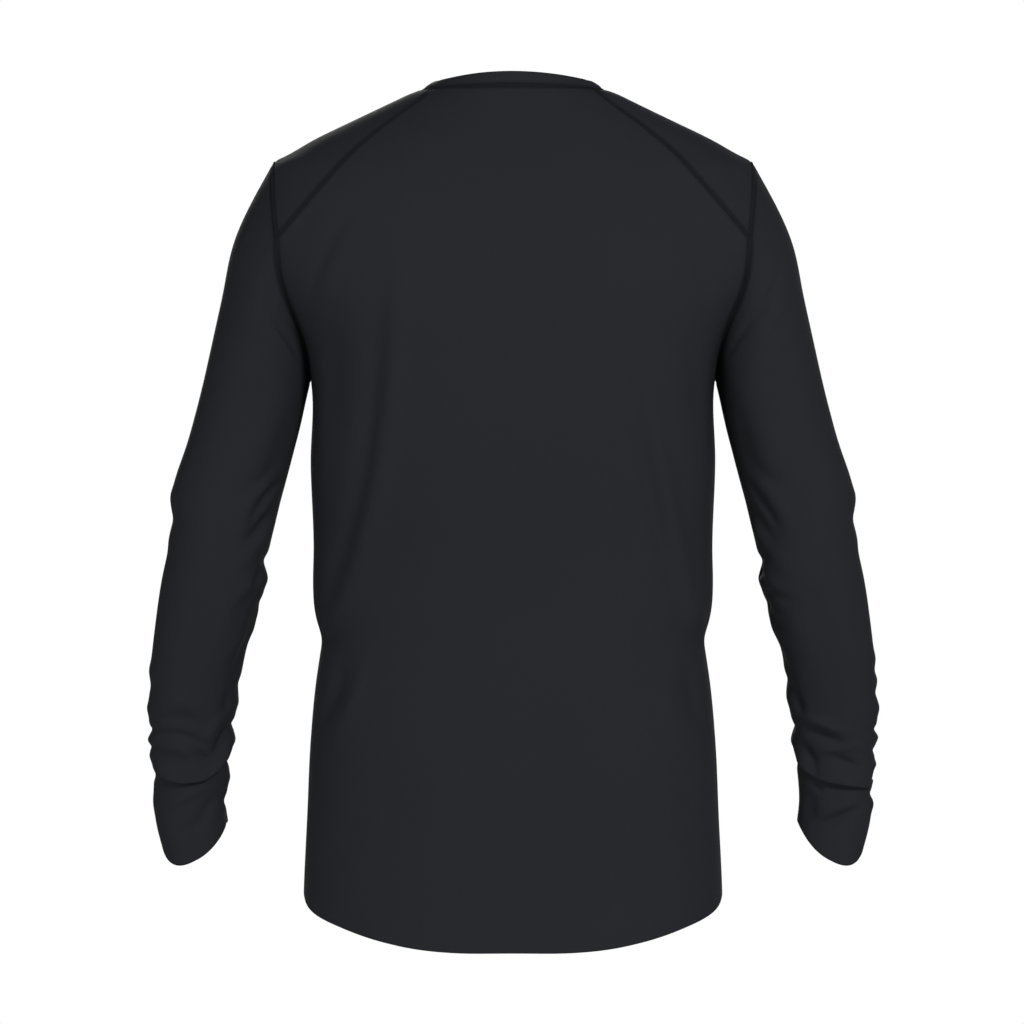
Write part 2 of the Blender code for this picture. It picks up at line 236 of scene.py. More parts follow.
def jersey(name, tint, deep):
    material, shader, start = cloth_shader(name, 0.88)
    across, along = cloth_place(start)
    wale = across / WALE
    lean = (wale.math("FRACT") - 0.5).math("ABSOLUTE")
    course = (along / COURSE + lean * LOOP_SLANT) * FULL_TURN
    loops = course.math("SINE") * 0.5 + lean * 2 * (1 - lean * 2) * 2
    cloudy = speckle(start, 9.0, 3.0)
    fibres = speckle(start, 900.0, 2.0)
    seam = seam_nearness(start)
    shade = cloudy * 0.65 + fibres * 0.5 - 0.1
    # Painted shade along the seams: the seam attribute darkens the colour there
    colour = (seam * PAINTED_SHADE_STRENGTH).mix(shade.mix(deep, tint), PAINTED_SEAM_SHADE)
    height = loops * (1 - seam) + fibres * 0.8
    return paint(material, shader, colour, height, KNIT_STRENGTH, LOOP_HEIGHT, cloudy * 0.08 + 0.84)


JERSEY = jersey("jersey", CHARCOAL, CHARCOAL_DEEP)
print("jersey:", round(1 / WALE / 100), "wales and", round(1 / COURSE / 100), "courses to the centimetre")

# %% [markdown]
# ## Neckband rib and thread
# The neckband is a fine rib: upright ridges that stretch and spring back. The thread is textured nylon, a shade
# darker than the cloth, with a twist that shows as fine slanting lines.

# %% Rib and thread materials
RIB = 1.5 * MM
THREAD_COLOUR = (0.0085, 0.0091, 0.0110, 1)
THREAD_TWIST = 2600.0
TWIST_HEIGHT = 0.05 * MM


def rib(name):
    material, shader, start = cloth_shader(name, 0.88)
    across, along = cloth_place(start)
    ridges = (across * (FULL_TURN / RIB)).math("SINE")
    courses = (along * (FULL_TURN / COURSE)).math("SINE")
    fibres = speckle(start, 700.0, 2.0)
    # Painted shade: the rib's valleys are painted darker than its ridges, and the fibres add random tone
    shade = ridges * 0.3 + fibres * 0.5 + 0.2
    # Painted shade along the neck seam: the seam attribute darkens the colour there
    colour = (seam_nearness(start) * PAINTED_SHADE_STRENGTH).mix(shade.mix(CHARCOAL_DEEP, CHARCOAL), PAINTED_SEAM_SHADE)
    return paint(material, shader, colour, ridges + courses * 0.2, 0.5, LOOP_HEIGHT, fibres * 0.08 + 0.84)


def thread(name):
    material, shader, start = cloth_shader(name, 0.75)
    object_place = start.node("ShaderNodeTexCoord", output=3)
    wave = start.node("ShaderNodeTexWave", {"bands_direction": "DIAGONAL"},
                      {"Vector": object_place, "Scale": THREAD_TWIST, "Distortion": 1.0}, output=1)
    # Painted shade: the grooves of the twist are painted darker and its raised turns lighter
    colour = (wave * 0.5).mix(THREAD_COLOUR, CHARCOAL)
    return paint(material, shader, colour, wave, 0.3, TWIST_HEIGHT)


RIB_KNIT = rib("neckband_rib")
THREAD = thread("seam_thread")

floor_paint = bpy.data.materials.new("floor_paint")
floor_paint.use_nodes = True
floor_inputs = floor_paint.node_tree.nodes["Principled BSDF"].inputs
floor_inputs["Base Color"].default_value = (0.82, 0.82, 0.82, 1)
floor_inputs["Roughness"].default_value = 0.9
floor.data.materials.append(floor_paint)
print("rib, thread and floor")

# %% [markdown]
# ## Smooth curves through a few points
# The shirt's form is drawn as a dressmaker would: a few measured widths and depths, with a soft curve through
# them. The curve is read at fine steps and then softened, because the eye sees a sudden change of bend in a
# smooth dark cloth even where the outline looks right.

# %% Soft curves
CURVE_STEP = 0.5


def soft_curve(points, spread):
    """A curve through (place, value) points, softened over a spread, as a function of the place."""
    at, value = np.array(sorted(points), dtype=float).T
    slope = np.gradient(value, at)
    margin = 4 * spread + 10
    fine = np.arange(at[0] - margin, at[-1] + margin, CURVE_STEP)
    x = np.clip(fine, at[0], at[-1])
    i = np.clip(np.searchsorted(at, x) - 1, 0, len(at) - 2)
    step = at[i + 1] - at[i]
    t = (x - at[i]) / step
    level = (1 + 2 * t) * (1 - t) ** 2 * value[i] + t * (1 - t) ** 2 * step * slope[i]
    level += t * t * (3 - 2 * t) * value[i + 1] - t * t * (1 - t) * step * slope[i + 1]
    level += np.minimum(fine - at[0], 0) * slope[0] + np.maximum(fine - at[-1], 0) * slope[-1]
    reach = int(3 * spread / CURVE_STEP)
    kernel = np.exp(-0.5 * (np.arange(-reach, reach + 1) * CURVE_STEP / spread) ** 2)
    padded = np.pad(level, reach, mode="edge")
    level = np.convolve(padded, kernel / kernel.sum(), mode="valid")
    return lambda place: np.interp(place, fine, level)


def share_curve(points):
    """A soft curve through (share, value) points, with shares from 0 to 1."""
    curve = soft_curve([(100 * share, value) for share, value in points], 2.0)
    return lambda share: curve(100 * share)


def unit(v):
    return v / np.maximum(np.linalg.norm(v, axis=-1, keepdims=True), 1e-9)


def run_of(line):
    """Distance along a line of points, from its first point to each of them."""
    return np.r_[0, np.cumsum(np.linalg.norm(np.diff(line, axis=0), axis=1))]


def read_line(line, run, places):
    """Points of a line at places along it. The run gives the place of each of the line's own points."""
    return np.stack([np.interp(places, run, line[:, c]) for c in range(line.shape[1])], axis=-1)


def closed(grid):
    """A tube's grid with its first column again at the end."""
    return np.concatenate([grid, grid[:, :1]], axis=1)


def ease(t):
    """A smooth step from 0 to 1."""
    t = np.clip(t, 0, 1)
    return t * t * (3 - 2 * t)


# %% [markdown]
# ## The body's form
# Every level of the body is a rounded cross-section: half a width, and a depth behind and in front. The
# armhole is an upright egg on that form. Heights are in millimetres below the point where the shoulders meet
# the neckband, because a dressmaker measures a shirt from there.

# %% Measures of the body
SIDE_HEM = -686.0
UNDERARM = -248.0
JUNCTION = -128.0
SHOULDER_TIP = -63.0
NECK_EDGE = {1: -1.0, -1: -6.0}

SIDE_WIDTH = [
    (-760, 178), (-686, 178), (-620, 175), (-554, 172), (-505, 167.5), (-478, 163.5), (-468, 162),
    (-456, 166), (-442, 169), (-425, 170), (-392, 169.5), (-320, 172), (-248, 171.7),
]
RIDGE_WIDTH = [
    (-63, 204), (-57, 192), (-44, 169), (-31, 142), (-18, 115), (-10, 98.5), (-3, 83), (-1, 76), (4, 66),
]
BACK_DEPTH = [
    (-760, 116), (-690, 114), (-600, 109), (-500, 101), (-430, 99), (-350, 106), (-270, 114.5), (-220, 118),
    (-180, 118), (-140, 114), (-100, 107), (-63, 95), (-30, 78), (0, 60), (4, 58),
]
FRONT_DEPTH = [
    (-760, 112), (-690, 111), (-600, 109), (-500, 105), (-430, 104), (-350, 108), (-250, 114), (-190, 112),
    (-150, 102), (-110, 84), (-72, 64), (-40, 46), (-20, 33), (-1, 19), (4, 16),
]
SQUARENESS = [
    (-760, 2.3), (-470, 2.3), (-390, 2.4), (-320, 2.7), (-248, 2.9), (-190, 2.7), (-128, 2.55), (-63, 2.4),
    (-20, 2.1), (4, 2.0),
]
ARMHOLE_CENTRE = (SHOULDER_TIP + UNDERARM) / 2
ARMHOLE_HALF = (SHOULDER_TIP - UNDERARM) / 2
ARMHOLE_REACH = 0.59
ARMHOLE_EGG = 0.45
ARMHOLE_DISTANCE = [
    (-223, 175.3), (-206, 180.3), (-190, 187), (-175, 193.5), (-150, 199.5), (-128, 201.5), (-100, 204),
    (-78, 205),
]
DIAGONAL = [(-128, 201.5), (-105, 182), (-80, 160.5), (-53, 135.5), (-28, 105), (-10, 80), (-1, 69.5)]
BODY_SPREAD = 9.0
WIDTH_SPREAD = 5.0
NECK_SPREAD = 2.0
# The looser curve of the width hands over to the tighter one from here, over this height
BLEND_FROM = -110.0
BLEND_OVER = 50.0

squareness = soft_curve(SQUARENESS, BODY_SPREAD)
back_depth = soft_curve(BACK_DEPTH, BODY_SPREAD)
front_depth = soft_curve(FRONT_DEPTH, BODY_SPREAD)
diagonal_distance = soft_curve(DIAGONAL, NECK_SPREAD)


def armhole_share(z):
    """How far back the armhole's edge lies at a height, as a share of the depth there."""
    rise = (z - ARMHOLE_CENTRE) / ARMHOLE_HALF
    return ARMHOLE_REACH * (1 + ARMHOLE_EGG * rise) * np.sqrt(np.maximum(0, 1 - rise * rise))


def carried_width(z, distance):
    """The half width of the form that puts the armhole's edge at a distance from the centre line."""
    p = squareness(z)
    return distance / (1 - armhole_share(z) ** p) ** (1 / p)


WIDTHS = SIDE_WIDTH + [(z, carried_width(z, distance)) for z, distance in ARMHOLE_DISTANCE] + RIDGE_WIDTH
wide_below = soft_curve(WIDTHS, WIDTH_SPREAD)
wide_above = soft_curve(WIDTHS, NECK_SPREAD)


def half_width(z):
    blend = ease((z - BLEND_FROM) / BLEND_OVER)
    return wide_below(z) * (1 - blend) + wide_above(z) * blend


def depth(z, side):
    return back_depth(z) if side > 0 else front_depth(z)


def form_at(x, z, side):
    """Points of the form at distances x from the centre line and heights z, behind (1) or in front (-1)."""
    p = squareness(z)
    share = np.minimum(1, np.abs(x) / half_width(z))
    y = side * depth(z, side) * np.maximum(0, 1 - share ** p) ** (1 / p)
    return np.stack(np.broadcast_arrays(x, y, z), axis=-1)


def armhole_edge(z, side):
    p = squareness(z)
    share = armhole_share(z)
    x = half_width(z) * (1 - share ** p) ** (1 / p)
    return np.stack([x, side * depth(z, side) * share, z], axis=-1)


JUNCTION_FIT = armhole_edge(np.array(JUNCTION), 1)[0] / diagonal_distance(JUNCTION)


def side_edge(z, side):
    """The side edge of the back or front at heights z: side seam, armhole, then diagonal seam."""
    seam = np.stack([half_width(z), 0 * z, z], axis=-1)
    arm = armhole_edge(np.clip(z, UNDERARM, JUNCTION), side)
    slant = form_at(diagonal_distance(z) * JUNCTION_FIT, z, side)
    edge = np.where((z > UNDERARM)[..., None], arm, seam)
    return np.where((z > JUNCTION)[..., None], slant, edge)


print("waist half width:", round(float(half_width(-467.0)), 1), "mm, chest depth:",
      round(float(back_depth(-220.0) + front_depth(-220.0)), 1), "mm")

# %% [markdown]
# ## Folds placed one by one
# Knitted cloth has no sharp creases. It hangs in soft ridges and troughs that run from where it is held to
# where it is spare: from the shoulder blades to the waist, and around each armpit. A cloth simulation could
# make such folds, but not these ones, so each is drawn: a route on the body, a half width and a height. A
# height below zero is a trough. The front has folds of the same kind, a little different from the back's.

# %% Routes of the body's folds
# Each fold: side of the body, points (distance to the left, height), half width, height of the ridge
BODY_FOLDS = [
    (1, [(97, -150), (100, -214), (107, -286), (117, -347), (128, -392), (140, -428), (150, -452)], 10, 4.2),
    (1, [(113, -172), (116, -225), (123, -290), (134, -350), (145, -390), (155, -422), (161, -444)], 11, -4.2),
    (1, [(138, -210), (148, -300), (158, -400)], 24, -3.0),
    (1, [(-99, -246), (-107, -292), (-116, -338), (-124, -376), (-133, -412), (-145, -446)], 8, -3.6),
    (1, [(-112, -258), (-121, -302), (-130, -345), (-138, -382), (-146, -416), (-155, -444)], 10, 4.2),
    (1, [(144, -116), (154, -133), (163.5, -152), (170, -168), (175, -184)], 5, -2.2),
    (1, [(135, -122), (145, -138), (154, -157), (161, -176)], 7, 1.8),
    (1, [(166, -106), (178.5, -117), (191, -128)], 5, -1.3),
    (1, [(-146, -125), (-158, -152), (-168, -182)], 5, -1.4),
    (1, [(-136, -128), (-148, -156), (-158, -186)], 7, 1.2),
    (1, [(152, -200), (154, -240), (156, -290)], 14, -2.4),
    (1, [(-152, -205), (-155, -245), (-158, -290)], 13, -2.2),
    (1, [(127, -490), (133, -516), (142, -534), (152, -550)], 8, 3.0),
    (1, [(144, -490), (150, -512), (158, -528), (166, -542)], 9, -3.4),
    (1, [(-150, -492), (-152, -518), (-162, -546)], 10, -2.8),
    (1, [(-132, -496), (-132, -526), (-142, -552)], 9, 2.0),
    (-1, [(108, -170), (112, -230), (120, -310), (134, -390), (158, -460)], 15, 3.6),
    (-1, [(128, -205), (136, -290), (148, -380), (158, -430)], 11, -2.6),
    (-1, [(-112, -165), (-114, -240), (-124, -320), (-138, -400), (-157, -462)], 14, 3.8),
    (-1, [(-130, -215), (-138, -300), (-149, -385), (-158, -432)], 11, -2.8),
    (-1, [(132, -112), (142, -140), (154, -172)], 7, -1.6),
    (-1, [(-134, -116), (-143, -142), (-155, -174)], 7, -1.6),
    (-1, [(84, -600), (112, -545), (138, -505), (157, -480)], 14, 3.0),
    (-1, [(-88, -604), (-114, -550), (-139, -506), (-157, -480)], 14, 3.0),
    (-1, [(126, -580), (146, -538), (159, -503)], 9, -2.4),
    (-1, [(-128, -584), (-146, -540), (-159, -504)], 9, -2.4),
]
# The cloth blouses over the waist at each side and is drawn in below: heights, half width, height of the ridge
WAIST_FOLDS = [(-448, 9, 1.6), (-470, 5, -1.6), (-492, 12, 0.8)]
WAIST_REACH = 146.0
WAIST_SIDE = 159.0
ROUTE_POINTS = 70
ROUTE_SPREAD = 6.0
# A fold fades towards its ends, which lie at these shares of half a wave
ROUTE_ENDS = (0.04, 0.96)
ROUTE_FADE = 0.6
FOLD_REACH = 2.6


def softened(route):
    """A listed route as a smooth line of evenly spaced points, and how strong the fold is along it."""
    corner = np.array(route, dtype=float)
    run = run_of(corner)
    curves = [soft_curve(list(zip(run, corner[:, c])), ROUTE_SPREAD) for c in range(corner.shape[1])]
    along = np.linspace(0, run[-1], ROUTE_POINTS)
    line = np.stack([curve(along) for curve in curves], axis=-1)
    return line, np.sin(np.pi * np.linspace(*ROUTE_ENDS, ROUTE_POINTS)) ** ROUTE_FADE


def fold_field(points, folds):
    """Height of a set of folds at points. Each fold: line of points, strength along it, half width, height."""
    flat = points.reshape(-1, 3)
    lift = np.zeros(len(flat))
    for line, strength, half, height in folds:
        reach = FOLD_REACH * half
        near = np.all((flat > line.min(axis=0) - reach) & (flat < line.max(axis=0) + reach), axis=1)
        if near.any():
            away = np.linalg.norm(flat[near, None] - line[None], axis=2)
            closest = away.argmin(axis=1)
            distance = away[np.arange(len(away)), closest]
            lift[near] += height * strength[closest] * np.exp(-(distance / half) ** 2)
    return lift.reshape(points.shape[:-1])


def body_fold(side, route, half, height):
    line, strength = softened(route)
    return form_at(line[:, 0], line[:, 1], side), strength, half, height


def waist_fold(hand, z, half, height):
    """A fold that runs round the side of the waist, from the back to the front."""
    reach = np.linspace(WAIST_REACH, WAIST_SIDE, ROUTE_POINTS // 2)
    line = np.concatenate([form_at(reach, z, 1), form_at(reach[::-1], z, -1)]) * (hand, 1, 1)
    return line, np.sin(np.pi * np.linspace(0.0, 1.0, ROUTE_POINTS)), half, height


body_folds = [body_fold(*fold) for fold in BODY_FOLDS]
body_folds += [waist_fold(hand, *fold) for hand in (1, -1) for fold in WAIST_FOLDS]
print(len(body_folds), "folds in the body")

# %% [markdown]
# ## Laying cloth on the form
# A piece of cloth starts as a flat grid from `create_grid`. Each of its points is then put on the form. Rows
# and columns lie closer together near the edges, because a seam makes a small groove there that a wide grid
# would miss. A second attribute tells the material how near the seam is, where it paints shade. The wall of
# the cloth comes last, from a Solidify modifier that grows inwards.

# %% Helpers for sheets
WALL = 0.9 * MM
EDGE_STEPS = np.array([0, 0.5, 1.1, 1.8, 2.6, 3.6, 5.0])
GROOVE = 0.6
GROOVE_HALF = 1.1
# How far beside a seam the painted seam shade fades out
SHADE_HALF = 2.0
SEAM_HALVES = {"armhole": 2.1, "side": 2.0, "diagonal": 1.5, "neck": 1.2}
CALM_HALF = 7.0
ROLL = 0.55
ROLL_HALF = 1.1
RIPPLE = 0.45
RIPPLE_SIZE = 55.0


def spaced(length, count, near_first=True, near_last=True):
    """Places along a length, evenly apart in the middle and close together near the chosen ends."""
    first = EDGE_STEPS if near_first else np.array([0.0])
    last = length - EDGE_STEPS[::-1] if near_last else np.array([length])
    middle = np.linspace(first[-1], last[0], count)[1:-1]
    return np.concatenate([first, middle, last])


def normals_of(grid, centres, tube=False):
    """Outward directions of a grid, pointing away from the centres."""
    along = np.gradient(grid, axis=0)
    if tube:
        around = np.roll(grid, -1, axis=1) - np.roll(grid, 1, axis=1)
    else:
        around = np.gradient(grid, axis=1)
    out = unit(np.cross(around, along))
    return out * np.sign(np.sum(out * (grid - centres)))


def distance_to(points, line):
    """Distance of every point of a grid from a line of points."""
    flat = points.reshape(-1, 3)
    best = np.full(len(flat), np.inf)
    for start, end in zip(line[:-1], line[1:]):
        step = end - start
        t = np.clip((flat - start) @ step / max(step @ step, 1e-9), 0, 1)
        best = np.minimum(best, np.sum((flat - start - t[:, None] * step) ** 2, axis=1))
    return np.sqrt(best).reshape(points.shape[:-1])


def ripple(points, size):
    """Slight unevenness, the same in neighbouring pieces, because it depends only on the place."""
    flat = (points / size).reshape(-1, 3)
    return np.array([noise.noise(Vector(q)) for q in flat]).reshape(points.shape[:-1])


def finish_surface(form, out, folds, seams, free_edges):
    """Folds, ripples, seam grooves and rolled edges. Gives the finished grid and the nearness of a seam.

    Each seam has two grooves where its needles pull the cloth in, and the cloth is calm between them, so that
    the two sides meet.
    """
    shade = np.zeros(form.shape[:2])
    groove = np.zeros(form.shape[:2])
    calm = np.ones(form.shape[:2])
    still = np.ones(form.shape[:2])
    for kind, line in seams:
        away = distance_to(form, line)
        beside = away - SEAM_HALVES[kind]
        groove = np.minimum(groove, -GROOVE * np.exp(-(beside / GROOVE_HALF) ** 2) * ease(away))
        # The mask of painted seam shade: full on the seam band, fading beside it
        shade = np.maximum(shade, np.exp(-(np.maximum(beside, 0) / SHADE_HALF) ** 2))
        held = 1 - np.exp(-(away / CALM_HALF) ** 2)
        calm = np.minimum(calm, held)
        if kind == "armhole":
            still = np.minimum(still, held)
    for line in free_edges:
        groove = groove - ROLL * np.exp(-(distance_to(form, line) / ROLL_HALF) ** 2)
    lift = fold_field(form, folds) * still + RIPPLE * ripple(form, RIPPLE_SIZE) * calm + groove
    return form + out * lift[..., None], shade


def lay_cloth(name, grid, out, shade, cloth_map, material, tube=False):
    """A sheet of cloth: a flat grid laid on the form, with its own map in metres of cloth."""
    if tube:
        grid, out, shade = closed(grid), closed(out), closed(shade)
    rows, columns = grid.shape[:2]
    place = grid.reshape(-1, 3) * MM
    nearness = shade.reshape(-1)
    spot = cloth_map.reshape(-1, 2) * MM
    outward = out.reshape(-1, 3)
    bm = bmesh.new()
    bmesh.ops.create_grid(bm, x_segments=columns - 1, y_segments=rows - 1, size=1.0)
    uv = bm.loops.layers.uv.new("cloth")
    # The mask of painted seam shade goes to the material as the attribute seam
    seam = bm.verts.layers.float.new("seam")
    bm.verts.ensure_lookup_table()
    for vert in bm.verts:
        vert.co = place[vert.index]
        vert[seam] = nearness[vert.index]
    for face in bm.faces:
        for loop in face.loops:
            loop[uv].uv = spot[loop.vert.index]
    bm.normal_update()
    bm.faces.ensure_lookup_table()
    middle = bm.faces[len(bm.faces) // 2]
    if middle.normal.dot(Vector(outward[middle.verts[0].index])) < 0:
        bmesh.ops.reverse_faces(bm, faces=bm.faces)
    if tube:
        bmesh.ops.remove_doubles(bm, verts=bm.verts, dist=0.00001)
    mesh = bpy.data.meshes.new(name)
    bm.to_mesh(mesh)
    bm.free()
    mesh.shade_smooth()
    mesh.materials.append(material)
    piece = add_object(name, mesh)
    wall = piece.modifiers.new("wall", "SOLIDIFY")
    wall.thickness = WALL
    wall.offset = -1.0
    return piece


def flat_area(grid, tube=False):
    """Area of a laid grid in square metres, which is the area that was cut."""
    grid = closed(grid) if tube else grid
    across = np.diff(grid, axis=1)
    along = np.diff(grid, axis=0)
    cross = np.cross((across[:-1] + across[1:]) / 2, (along[:, :-1] + along[:, 1:]) / 2)
    return float(np.linalg.norm(cross, axis=2).sum()) * MM * MM


def cut_size(grid, tube=False):
    """Width and length of the flat cut, in metres: the longest row and the longest column."""
    grid = closed(grid) if tube else grid
    width = np.linalg.norm(np.diff(grid, axis=1), axis=2).sum(axis=1).max()
    length = np.linalg.norm(np.diff(grid, axis=0), axis=2).sum(axis=0).max()
    return float(width) * MM, float(length) * MM


# %% [markdown]
# ## Back and front
# The back drops lower than the front at the hem, to stay tucked in. Each is laid out in rows that follow the
# hem below and the neckline above. The points of a row are spread by their distance along the cloth, so that
# the knit isn't stretched.

# %% Back and front panels
NECK_DIP = 66.0
NECK_DIP_EASE = 1.4
NECK_CURVE = 2.25
NECK_BACK_RISE = 2.7
TAILS = {1: 48.0, -1: 16.0}
TAIL_FADE = 130.0
# Drop of the hem: (share of the way from the centre line to the side seam, share of the tail)
HEM_CURVE = [(0, 1), (0.13, 1), (0.26, 0.94), (0.40, 0.80), (0.60, 0.54), (0.82, 0.265), (1, 0)]
TAIL_EASE = 1.5
NECK_BACK_EASE = 3
SEAM_ROWS = 120
ARM_ROWS = 46
DIAGONAL_ROWS = 52
PANEL_COLUMNS = 120
ROW_SAMPLES = 700
QUARTER_TURN = math.pi / 2

hem_drop = share_curve(HEM_CURVE)


def panel_levels(side):
    """Heights of the rows at the side edge, from the hem to the neck."""
    turn = math.acos((ARMHOLE_CENTRE - JUNCTION) / ARMHOLE_HALF)
    seam = SIDE_HEM + spaced(UNDERARM - SIDE_HEM, SEAM_ROWS, near_last=False)
    arm = ARMHOLE_CENTRE - ARMHOLE_HALF * np.cos(np.linspace(0, turn, ARM_ROWS))
    diagonal = JUNCTION + spaced(NECK_EDGE[side] - JUNCTION, DIAGONAL_ROWS, near_first=False)
    return np.concatenate([seam, arm[1:], diagonal[1:]])


def panel_row(z, side):
    """One row of a panel, from the centre line to its side edge."""
    edge = side_edge(np.array([z]), side)[0]
    p = squareness(z)
    end = math.acos(min(1.0, (edge[0] / half_width(z)) ** (p / 2)))
    f = np.linspace(0, 1, ROW_SAMPLES)
    turn = QUARTER_TURN - f * (QUARTER_TURN - end)
    x = half_width(z) * np.maximum(0, np.cos(turn)) ** (2 / p)
    low = max(0.0, 1 - (z - SIDE_HEM) / TAIL_FADE) ** TAIL_EASE
    high = max(0.0, (z - UNDERARM) / (NECK_EDGE[side] - UNDERARM))
    drop = TAILS[side] * low * hem_drop(f)
    if side > 0:
        rise = NECK_BACK_RISE * high ** NECK_BACK_EASE * (1 - f * f)
    else:
        rise = -NECK_DIP * high ** NECK_DIP_EASE * (1 - f ** NECK_CURVE)
    if z <= UNDERARM:
        share = np.maximum(0, np.sin(turn)) ** (2 / p)
        x = half_width(z - drop) * np.maximum(0, 1 - share ** p) ** (1 / p)
        row = np.stack([x, side * depth(z - drop, side) * share, z - drop], axis=-1)
    else:
        row = form_at(x, z + rise, side)
    row[-1] = edge
    run = run_of(row)
    places = spaced(run[-1], PANEL_COLUMNS // 2, near_first=False)
    return read_line(row, run, places), places


def panel(side):
    """The whole back or front as a grid, with the distance of each point across the cloth."""
    rows, across = zip(*(panel_row(z, side) for z in panel_levels(side)))
    half = np.array(rows)
    across = np.array(across)
    grid = np.concatenate([half[:, :0:-1] * (-1, 1, 1), half], axis=1)
    return grid, np.concatenate([-across[:, :0:-1], across], axis=1)


def body_centres(grid):
    return grid * (0, 0, 1)


def across_rows(grid):
    """Distance across the cloth from the middle of each row."""
    lengths = np.stack([run_of(row) for row in grid])
    return lengths - lengths[:, -1:] / 2


def cloth_map_of(grid, across):
    """Map of a sheet: distance across the cloth, and distance along its middle column."""
    down = run_of(grid[:, grid.shape[1] // 2])
    return np.stack([across, np.broadcast_to(down[:, None], across.shape)], axis=-1)


def edge_between(grid, column, low, high):
    """Part of a panel's side edge between two heights."""
    edge = grid[:, column]
    return edge[(edge[:, 2] >= low - 0.01) & (edge[:, 2] <= high + 0.01)]


TUBES = ("sleeve_left", "sleeve_right", "neckband")
forms = {}
surfaces = {}
pieces = {}


def cover(name, form, done, out, shade, cloth_map, material=JERSEY):
    """Cover one solid of the frame with its cloth. The smooth form and the finished surface are kept."""
    piece = lay_cloth("cloth_" + name, done, out, shade, cloth_map, material, name in TUBES)
    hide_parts(name)
    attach(piece, "root")
    forms[name] = form
    surfaces[name] = (done, out)
    pieces[name] = piece
    print(name, "has", len(piece.data.polygons), "faces")


EDGE_SEAMS = (("side", SIDE_HEM, UNDERARM), ("armhole", UNDERARM, JUNCTION), ("diagonal", JUNCTION, 0))
for side, name in ((1, "back_panel"), (-1, "front_panel")):
    grid, across = panel(side)
    out = normals_of(grid, body_centres(grid))
    seams = [("neck", grid[-1])]
    for column in (0, -1):
        seams += [(kind, edge_between(grid, column, low, high)) for kind, low, high in EDGE_SEAMS]
    done, shade = finish_surface(grid, out, body_folds, seams, [grid[0]])
    cover(name, grid, done, out, shade, cloth_map_of(grid, across))

# %% [markdown]
# ## Shoulder panels
# A panel over each shoulder moves the seams off the top of the shoulder, where a pack strap would press on
# them. It runs from a diagonal seam behind, over the ridge, to one in front. The right one is the left one
# mirrored.

# %% Shoulder panels
SHOULDER_ROWS = 54
SHOULDER_COLUMNS = 54
WIDTH_AT_NECK = 90.0
TURN_AT_JUNCTION = math.acos((ARMHOLE_CENTRE - JUNCTION) / ARMHOLE_HALF)
TURN_OVER_TOP = math.pi - TURN_AT_JUNCTION
ridge_height = soft_curve([(distance, z) for z, distance in RIDGE_WIDTH], 3.0)
tip_width = float(half_width(SHOULDER_TIP))
junction_width = float(armhole_edge(np.array(JUNCTION), 1)[0])
armhole_line = soft_curve([(JUNCTION, junction_width), (-100, 204), (-78, 205), (SHOULDER_TIP, tip_width)], 1.0)


def over_shoulder(z_ridge, z_seams, j):
    """Points over the form between two seams: j runs from 1 at the back seam to -1 at the front."""
    z_seam = np.where(j >= 0, z_seams[1], z_seams[-1])
    across = np.sin(np.abs(j) * TURN_OVER_TOP) / math.sin(TURN_OVER_TOP)
    down = (1 - np.cos(j * TURN_OVER_TOP)) / (1 - math.cos(TURN_OVER_TOP))
    shares = {}
    for side in (1, -1):
        edge = side_edge(np.array([z_seams[side]]), side)[0]
        shares[side] = abs(edge[1]) / depth(z_seams[side], side)
    share = np.where(j >= 0, shares[1], shares[-1]) * across
    z = z_ridge + (z_seam - z_ridge) * down
    p = squareness(z)
    y = np.where(j >= 0, back_depth(z), -front_depth(z)) * share
    return np.stack([half_width(z) * np.maximum(0, 1 - share ** p) ** (1 / p), y, z], axis=-1)


def drawn_in(j):
    """How much the armhole's own line draws the shoulder in, to run straight up to the shoulder's tip."""
    edge = over_shoulder(SHOULDER_TIP, {1: JUNCTION, -1: JUNCTION}, j)
    return armhole_line(edge[:, 2]) / edge[:, 0] - 1


def shoulder():
    first = float(half_width(NECK_EDGE[1]))
    last = float(half_width(SHOULDER_TIP))
    rows = []
    for r in spaced(last - first, SHOULDER_ROWS) / (last - first):
        z_ridge = float(ridge_height(first + (last - first) * r))
        z_ridge += (NECK_EDGE[1] - float(ridge_height(first))) * (1 - r)
        z_ridge += (SHOULDER_TIP - float(ridge_height(last))) * r
        z_seams = {side: NECK_EDGE[side] + (JUNCTION - NECK_EDGE[side]) * r for side in (1, -1)}
        width = WIDTH_AT_NECK * (1 + r)
        j = 1 - 2 * spaced(width, SHOULDER_COLUMNS) / width
        row = over_shoulder(z_ridge, z_seams, j)
        row[:, 0] *= 1 + drawn_in(j) * r * r
        rows.append(row)
    return np.array(rows)


top_form = shoulder()
for hand, name in ((1, "shoulder_panel_left"), (-1, "shoulder_panel_right")):
    grid = top_form * (hand, 1, 1)
    out = normals_of(grid, body_centres(grid))
    out *= np.sign(out[..., 2].mean())
    seams = [("diagonal", grid[:, 0]), ("diagonal", grid[:, -1]), ("neck", grid[0]), ("armhole", grid[-1])]
    done, shade = finish_surface(grid, out, body_folds, seams, [])
    cover(name, grid, done, out, shade, cloth_map_of(grid, across_rows(grid)))

# %% [markdown]
# ## Sleeves
# A sleeve is a tube through a few cross-sections, from the egg of the armhole to the wrist. The arm is slightly
# bent, so the cloth pinches inside the elbow. Below it the sleeve is too long on purpose, and gathers at the
# wrist in rolls. One roll hangs over the cloth beneath it. It is made by pushing rings of points outwards and
# down past the ones below. The end of the sleeve is shaped: it runs out over the back of the hand and is cut
# away under it.

